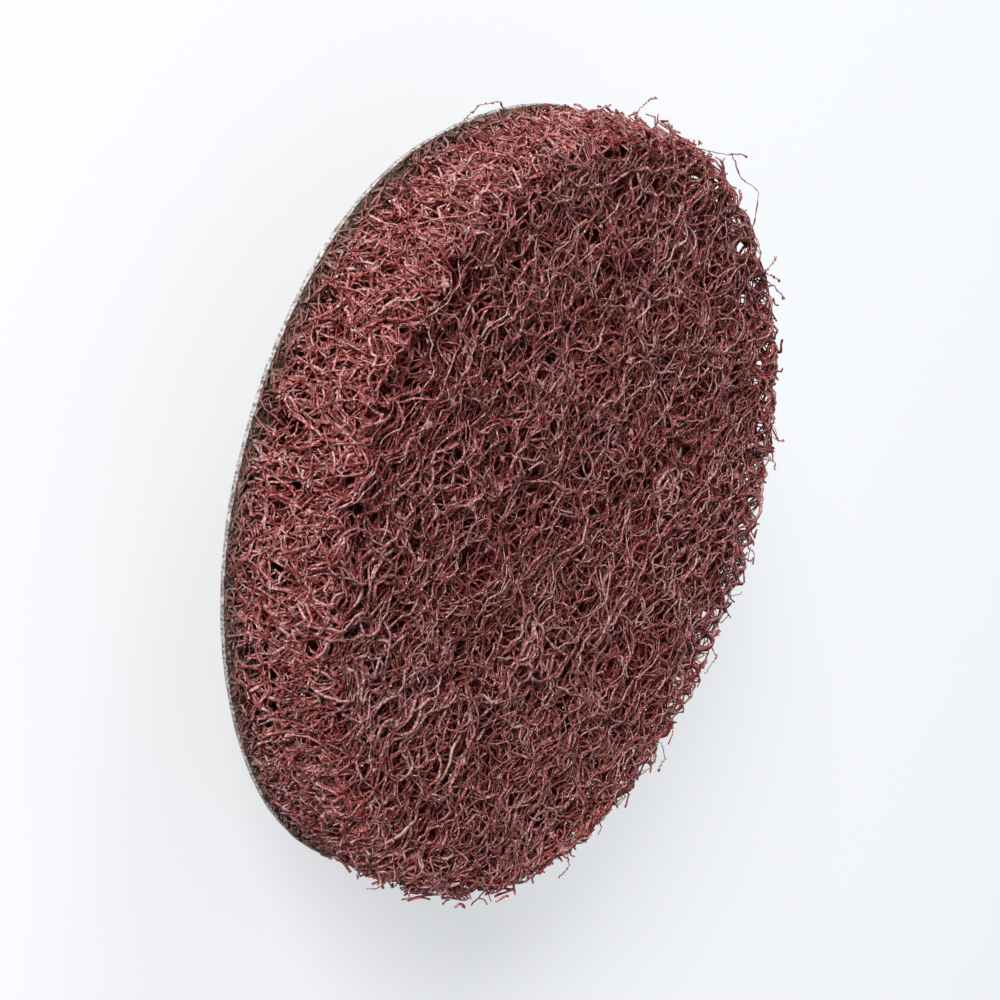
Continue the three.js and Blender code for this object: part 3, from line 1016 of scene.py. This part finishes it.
grainMaterial = grainFinish()
dustTree = grainTree()
for pieceName, carrier in (("face_grain", "web_face_fibres"), ("rim_grain", "web_rim_fibres")):
    piece = grown(
        pieceName,
        bpy.data.objects[carrier].data,
        dustTree,
        {
            "Grains per mm2": grainPlan["density"],
            "Smallest": grainPlan["small"] * mm,
            "Largest": grainPlan["large"] * mm,
            "Seed": grainPlan["seed"],
            "Material": grainMaterial,
        },
    )
    addValues(piece.data, "level", np.full(len(piece.data.vertices), 0.5))
    layBakeMap(piece.data, "tone", "level")
    webPieces.append(piece)
    print(pieceName, len(piece.data.polygons), "faces")


# The cloth backing


clothPlan = {
    "pitch": 0.62, "thread": 0.32, "wave": 0.02, "beyond": 0.6, "seed": 41,
    # how the threads bow: height, then turning per mm from thread to thread and along it
    "bows": [(0.12, 0.7, 0.23), (0.05, 9, 1.1)],
    "inset": 0.14, "cutScatter": 0.04, "toneScatter": 0.12, "darkOver": 3,
    "thickScatter": 0.08, "thickLimits": (0.7, 1.3),
    "sides": 4, "lumpHeight": 0.12, "lumpLength": 0.5, "tubeSeed": 2,
    "fleck": 900.0, "stain": (0.2, 0.075, 0.065), "stainLimits": (0.56, 0.68), "stainShare": 0.7,
    # the upper side, soaked with the web's resin, by height in metres
    "soakedLimits": (0.00764, 0.00766),
    "resin": [(0.35, (0.04, 0.024, 0.019)), (0.5, (0.12, 0.07, 0.055)), (0.7, (0.34, 0.26, 0.23))],
    "threadScale": 3400.0,
    "threadColours": [
        (0.3, (0.3, 0.28, 0.26)), (0.5, (0.41, 0.385, 0.36)), (0.7, (0.53, 0.5, 0.47)),
    ],
}


def clothThreads(name, lengthwise):
    plan = clothPlan
    rng = np.random.default_rng(plan["seed"] + lengthwise)
    pitch = plan["pitch"]
    half = discPlan["radius"] + plan["beyond"]
    lines = np.arange(-half, half, pitch)[:, None]
    places = np.arange(-half, half, pitch / 2)
    bow = sum(size * np.sin(lines * over + places * along) for size, over, along in plan["bows"])
    across, along = lines + bow, places + 0 * lines
    over = np.sin(math.pi * (along / pitch + lines / pitch + lengthwise))
    z = discPlan["clothBottom"] + plan["thread"] / 2 + plan["wave"] * (1 + over)
    x, y = (across, along) if lengthwise else (along, across)
    edge = outlineAt(np.arctan2(y, x)) - plan["inset"]
    spare = edge + rng.normal(0, plan["cutScatter"], lines.shape) - np.hypot(x, y)
    toneScatter = plan["toneScatter"]
    tone = rng.normal(0.5, toneScatter, lines.shape) + rng.normal(0, toneScatter, x.shape)
    under = np.clip(1 - spare / plan["darkOver"], 0, 1)
    thick = rng.normal(1, plan["thickScatter"], x.shape).clip(*plan["thickLimits"])
    return wireMesh(name, x, y, z, spare > 0, np.clip(tone, 0, 1), under, thick)


def clothMaterialOf(name, stops, coarse):
    material, graph = newMaterial(name)
    place = objectPlace(graph)
    fleck = noise(graph, place, clothPlan["fleck"], 3.0)
    dirt = noise(graph, place, coarse, 2.0)
    stained = between(graph, fleck, clothPlan["stainLimits"]) * clothPlan["stainShare"]
    colour = mixed(graph, stained, colourRamp(graph, stops, dirt), (*clothPlan["stain"], 1))
    soaked = between(graph, heightIn(graph, place), clothPlan["soakedLimits"])
    colour = mixed(graph, soaked, colour, colourRamp(graph, clothPlan["resin"], dirt))
    sockets = {"Base Color": colour, "Roughness": 0.8, "Specular IOR Level": 0.25}
    sockets["Normal"] = bumped(graph, dirt, 0.3, 0.0001)
    finishMaterial(graph, surface(graph, sockets))
    return material


groundPlan = {
    "faces": 240, "bottom": 0.09, "top": 0.04, "rise": 0.04, "shares": (1.0, 1.0, 0.997, 0.9),
    "roughness": 0.025, "scale": 6500.0,
    "felt": [
        (0.36, (0.12, 0.125, 0.115)), (0.48, (0.32, 0.295, 0.28)), (0.64, (0.54, 0.5, 0.475)),
    ],
}


# the resin-soaked felt that the threads lie in
def clothGround():
    plan = groundPlan
    rng = np.random.default_rng(clothPlan["seed"])
    faces = plan["faces"]
    angle = np.arange(faces) * fullTurn / faces
    low = discPlan["clothBottom"] + plan["bottom"]
    high = discPlan["webBottom"] - plan["top"]
    rows = []
    for share, height in zip(plan["shares"], (low, (low + high) / 2, high, high + plan["rise"])):
        reach = (outlineAt(angle) + rng.uniform(-1, 1, faces) * plan["roughness"]) * share
        rows.append(np.stack([reach * np.cos(angle), reach * np.sin(angle), 0 * angle + height], 1))
    mesh = ringShell("cloth_ground", (0, 0, low), rows, (0, 0, high), False)
    mesh.materials.append(clothMaterialOf("clothFelt", plan["felt"], plan["scale"]))
    return newObject("cloth_ground", mesh)


clothPieces = [clothGround()]
threadMaterial = clothMaterialOf(
    "clothThread", clothPlan["threadColours"], clothPlan["threadScale"]
)
for pieceName, lengthwise in (("cloth_warp", 1), ("cloth_weft", 0)):
    wires = clothThreads(pieceName + "Wires", lengthwise)
    values = clothPlan["thread"], clothPlan["tubeSeed"], threadMaterial
    clothPieces.append(tubesAlong(pieceName, wires, *values, clothPlan))


# The button and its glue


buttonPlan = {
    "footRadius": 8.5, "footUnderside": 5.6, "footTop": 7.0, "footEdge": 0.6,
    # the foot's underside is flat to this share of its radius, then thins to a rounded edge
    "flatShare": 0.72, "edgeIn": 0.35, "edgeDrop": 0.12, "edgeRound": 0.2, "edgeLift": 0.02,
    "topRound": 0.12,
    "stubRadius": 3.8, "chamfer": 0.5, "flatIn": 0.35, "fillet": 1.05, "faces": 120,
}
threadPlan = {
    "radius": 4.75, "pitch": 2.9, "turns": 1.3, "width": 1.5, "start": 1.0, "stepsPerTurn": 96,
    # the ridge's section: its root inside the stub, and the round of its crest
    "root": 1.2, "roundPower": 0.7, "roundTo": 1.45, "roundPoints": 11,
    # the share of the thread that each end runs out over, and the width left at the very end
    "runOut": 0.15, "narrowest": 0.4,
}


# a profile of (radius, height) points turned about the axis, running up the outside; a waver
# gives how much each ring strays from its radius
def turned(name, profile, faces, waver):
    angle = np.arange(faces) * fullTurn / faces
    places, polygons = [], []
    for radius, height in profile:
        reach = radius + waver(angle, radius)
        ring = np.stack([reach * np.cos(angle), reach * np.sin(angle), 0 * angle + height], 1)
        places.append(ring)
    for row in range(len(profile) - 1):
        for i in range(faces):
            j = (i + 1) % faces
            near, far = row * faces, (row + 1) * faces
            polygons.append((near + i, near + j, far + j, far + i))
    polygons.insert(0, tuple(range(faces - 1, -1, -1)))
    last = (len(profile) - 1) * faces
    polygons.append(tuple(range(last, last + faces)))
    mesh = bpy.data.meshes.new(name)
    mesh.from_pydata(np.concatenate(places) * mm, [], polygons)
    return mesh


def cornerPoints(radius, height, size, start, end, steps):
    turns = np.radians(np.linspace(start, end, steps + 1))
    return [(radius + size * math.cos(t), height + size * math.sin(t)) for t in turns]


def threadRidge():
    plan = threadPlan
    bends = np.linspace(-plan["roundTo"], plan["roundTo"], plan["roundPoints"])
    section = [(math.cos(t) ** plan["roundPower"], 0.5 * math.sin(t)) for t in bends]
    section = [(-plan["root"], -0.5), *section, (-plan["root"], 0.5)]
    steps = int(plan["stepsPerTurn"] * plan["turns"])
    stub = buttonPlan["stubRadius"]
    rise = plan["radius"] - stub
    places, polygons = [], []
    for step in range(steps + 1):
        share = step / steps
        fade = min(1, share / plan["runOut"], (1 - share) / plan["runOut"])
        height = plan["start"] + share * plan["turns"] * plan["pitch"]
        angle = fullTurn * plan["turns"] * share
        width = plan["width"] * (plan["narrowest"] + (1 - plan["narrowest"]) * fade)
        for out, across in section:
            radius = stub + (out * rise * fade if out > 0 else out)
            place = (radius * math.cos(angle), radius * math.sin(angle), height + across * width)
            places.append(place)
    around = len(section)
    for step in range(steps):
        for side in range(around):
            near, following = step * around + side, step * around + (side + 1) % around
            polygons.append((near, near + around, following + around, following))
    polygons.append(tuple(range(around)))
    polygons.append(tuple(range(steps * around + around - 1, steps * around - 1, -1)))
    mesh = bpy.data.meshes.new("threadRidge")
    mesh.from_pydata(np.array(places) * mm, [], polygons)
    return mesh


def nylonMaterial():
    material, graph = newMaterial("mouldedNylon")
    place = objectPlace(graph)
    fine = noise(graph, place, 3000.0, 4.0)
    cloud = noise(graph, place, 260.0, 2.0)
    colour = mixed(graph, cloud, (0.014, 0.015, 0.017, 1), (0.03, 0.031, 0.034, 1))
    bump = bumped(graph, fine, 0.25, 0.00005)
    sockets = {"Base Color": colour, "Roughness": 0.3 + cloud * 0.25, "Normal": bump}
    finishMaterial(graph, surface(graph, sockets))
    return material


def glueMaterial():
    material, graph = newMaterial("hotMeltGlue")
    cloud = noise(graph, objectPlace(graph), 420.0, 3.0)
    colour = mixed(graph, cloud, (0.42, 0.28, 0.12, 1), (0.72, 0.6, 0.38, 1))
    sockets = {"Base Color": colour, "Roughness": 0.22 + cloud * 0.2}
    finishMaterial(graph, surface(graph, sockets))
    return material


def smoothSides(mesh):
    for face in mesh.polygons:
        face.use_smooth = len(face.vertices) == 4


def screwButton():
    plan = buttonPlan
    stub, fillet, foot, chamfer = (
        plan[key] for key in ("stubRadius", "fillet", "footRadius", "chamfer")
    )
    under, top, edge = plan["footUnderside"], plan["footTop"], plan["footEdge"]
    low, edgeRound, topRound = top - edge, plan["edgeRound"], plan["topRound"]
    profile = [(stub - chamfer - plan["flatIn"], 0.0)]
    profile += cornerPoints(stub - chamfer, chamfer, chamfer, -90, 0, 6)
    profile += cornerPoints(stub + fillet, under - fillet, fillet, 180, 90, 10)
    profile += [(foot * plan["flatShare"], under)]
    profile += [(foot - plan["edgeIn"], low - plan["edgeDrop"])]
    lift = low + edgeRound - plan["edgeLift"]
    profile += cornerPoints(foot - edgeRound, lift, edgeRound, -70, 0, 4)
    profile += cornerPoints(foot - topRound, top - topRound, topRound, 0, 90, 3)
    body = turned("screw_button", profile, plan["faces"], lambda angle, radius: 0)
    button = newObject("screw_button", body)
    thread = newObject("threadRidge", threadRidge())
    bpy.ops.object.select_all(action="DESELECT")
    thread.select_set(True)
    button.select_set(True)
    bpy.context.view_layer.objects.active = button
    bpy.ops.object.join()
    smoothSides(button.data)
    button.data.materials.append(nylonMaterial())
    return button


gluePlan = {
    "inner": 7.6, "outer": 9.1, "bottom": 7.0, "top": 7.4, "bead": 0.2, "faces": 160,
    # the bead's outer edge wavers: from which radius, how much in all, then how many waves in
    # a turn, their start and height
    "waverFrom": 8.4, "waverIn": 0.06, "wavers": [(5, 1, 0.07), (11, 2, 0.05)],
}


def glueRing():
    plan = gluePlan

    def waver(angle, radius):
        if radius <= plan["waverFrom"]:
            return 0
        waves = sum(size * np.sin(count * angle + start) for count, start, size in plan["wavers"])
        return waves - plan["waverIn"]

    bead = plan["bead"]
    profile = [(plan["inner"], plan["bottom"])]
    profile += cornerPoints(plan["outer"] - bead, plan["bottom"] + bead, bead, -90, 90, 8)
    profile += [(plan["inner"], plan["top"])]
    mesh = turned("glue_bead", profile, plan["faces"], waver)
    smoothSides(mesh)
    mesh.materials.append(glueMaterial())
    return newObject("glue_bead", mesh)


button = screwButton()
glue = glueRing()
print("button made")


# Floor, light and camera


def addCamera():
    lean = math.radians(viewPlan["fromAxis"])
    roll = math.radians(viewPlan["roll"])
    toward = Vector((0, -math.sin(lean), math.cos(lean)))
    axisWay = Vector((0, math.cos(lean), math.sin(lean)))
    across = Vector((1, 0, 0))
    right = axisWay * math.cos(roll) - across * math.sin(roll)
    up = -(axisWay * math.sin(roll) + across * math.cos(roll))
    turn = Matrix((right, up, toward)).transposed().to_4x4()
    place = (Vector(viewPlan["target"]) + toward * viewPlan["distance"]) * mm
    camera = bpy.data.objects.new("camera", bpy.data.cameras.new("camera"))
    camera.matrix_world = Matrix.Translation(place) @ turn
    camera.data.lens = viewPlan["lens"]
    camera.data.sensor_width = viewPlan["sensor"]
    camera.data.shift_x, camera.data.shift_y = viewPlan["shift"]
    camera.data.clip_start, camera.data.clip_end = viewPlan["clip"]
    bpy.context.scene.collection.objects.link(camera)
    bpy.context.scene.camera = camera


lampPlan = {
    # name: (place in mm, width in mm, power in watts)
    "key": ((-300, -800, 330), 300, 10.5),
    "side": ((-800, -350, 330), 400, 3.4),
}


def addLamp(name, place, width, power):
    lamp = bpy.data.lights.new(name, "AREA")
    lamp.shape = "DISK"
    lamp.size = width * mm
    lamp.energy = power
    obj = bpy.data.objects.new(name, lamp)
    obj.location = Vector(place) * mm
    aim = Vector(viewPlan["target"]) * mm - obj.location
    obj.rotation_euler = aim.to_track_quat("-Z", "Y").to_euler()
    bpy.context.scene.collection.objects.link(obj)


floorPlan = {
    # the lift is a glow that only the camera sees
    "size": 3000, "colour": (0.5, 0.505, 0.515), "lift": 0.515,
    # the sky's colour and strength as light, and its colour to the camera
    "sky": (0.8, 0.88, 1), "dome": 0.38, "backdrop": (0.93, 0.94, 0.95),
}


def seenByCamera(graph):
    return graph.add("ShaderNodeLightPath", None, None, "Is Camera Ray")


def addStage():
    half = floorPlan["size"] / 2 * mm
    mesh = bpy.data.meshes.new("floor")
    corners = [(-half, -half, 0), (half, -half, 0), (half, half, 0), (-half, half, 0)]
    mesh.from_pydata(corners, [], [(0, 1, 2, 3)])
    material, graph = newMaterial("paleFloor")
    colour = (*floorPlan["colour"], 1)
    sockets = {"Base Color": colour, "Roughness": 0.9, "Specular IOR Level": 0.1}
    lift = (floorPlan["lift"],) * 3
    glow = mixed(graph, seenByCamera(graph), (0, 0, 0, 1), (*lift, 1))
    lifted = graph.add("ShaderNodeEmission", None, {"Color": glow, "Strength": 1.0})
    both = graph.add("ShaderNodeAddShader", None, {0: surface(graph, sockets), 1: lifted})
    finishMaterial(graph, both)
    mesh.materials.append(material)
    return newObject("floor", mesh)


# a dim sky that lights the disc, and plain near-white where the camera sees past the floor
def addSky():
    world = bpy.data.worlds.new("studio")
    world.use_nodes = True
    world.node_tree.nodes.clear()
    graph = Graph(world.node_tree)
    sky = {"Color": (*floorPlan["sky"], 1), "Strength": floorPlan["dome"]}
    backdrop = {"Color": (*floorPlan["backdrop"], 1), "Strength": 1.0}
    light = graph.add("ShaderNodeBackground", None, sky)
    seen = graph.add("ShaderNodeBackground", None, backdrop)
    both = graph.add("ShaderNodeMixShader", None, {0: seenByCamera(graph), 1: light, 2: seen})
    end = graph.tree.nodes.new("ShaderNodeOutputWorld")
    graph.tree.links.new(both.socket, end.inputs["Surface"])
    bpy.context.scene.world = world


addCamera()
for lampName, (place, width, power) in lampPlan.items():
    addLamp(lampName, place, width, power)
addStage()
addSky()
bpy.context.scene.view_settings.view_transform = "Standard"
print("stage made")

for pieces, node, slotName in (
    (webPieces, "abrasive_web", "web"),
    (clothPieces, "scrim_backing", "cloth"),
    ([glue], "hot_melt_bond", "glue"),
    ([button], "quick_change_button", "nylon"),
):
    for piece in pieces:
        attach(piece, "root")
        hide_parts(node)
